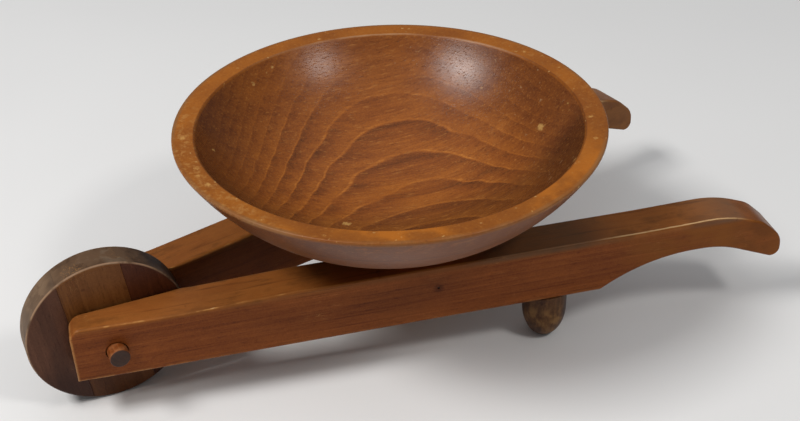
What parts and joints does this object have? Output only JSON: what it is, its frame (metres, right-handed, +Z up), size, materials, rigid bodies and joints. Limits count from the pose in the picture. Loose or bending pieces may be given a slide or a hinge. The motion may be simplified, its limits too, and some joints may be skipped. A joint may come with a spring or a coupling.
{
  "type": "wheelbarrow centrepiece bowl",
  "caption": "Turned wooden bowl fixed on a small wheelbarrow frame of splayed rails with carved handles, turned feet and a front wheel that spins on a dowel axle.",
  "frame": {"origin": "on the table, under the middle of the overall length and width", "axes": "+X from the wheel towards the handles, +Z up, left rail on the -Y side"},
  "size_m": [0.5022, 0.281, 0.1574],
  "materials": {
    "rail_wood": "satin stained",
    "bowl_wood": "satin stained",
    "wheel_wood": "satin stained",
    "wheel_wood_light": "satin stained",
    "axle_wood": "worn",
    "foot_wood": "worn",
    "plain_wood": "unfinished",
    "steel": "plain"
  },
  "bodies": {
    "frame": {"left_rail": "rail_wood", "right_rail": "rail_wood", "crosspiece": "plain_wood", "crosspiece_dowels": "plain_wood", "crosspiece_nails": "steel", "bowl": "bowl_wood", "bowl_screws": "steel", "left_foot": "foot_wood", "right_foot": "foot_wood"},
    "wheel": {"wheel_front_board": "wheel_wood", "wheel_middle_board": "wheel_wood_light", "wheel_rear_board": "wheel_wood", "axle": "axle_wood"}
  },
  "joints": [
    {"name": "wheel_spin", "type": "hinge", "parent": "frame", "child": "wheel", "pos_m": [-0.19949, 0, 0.0515], "axis": [0, 1, 0], "continuous": true}
  ]
}
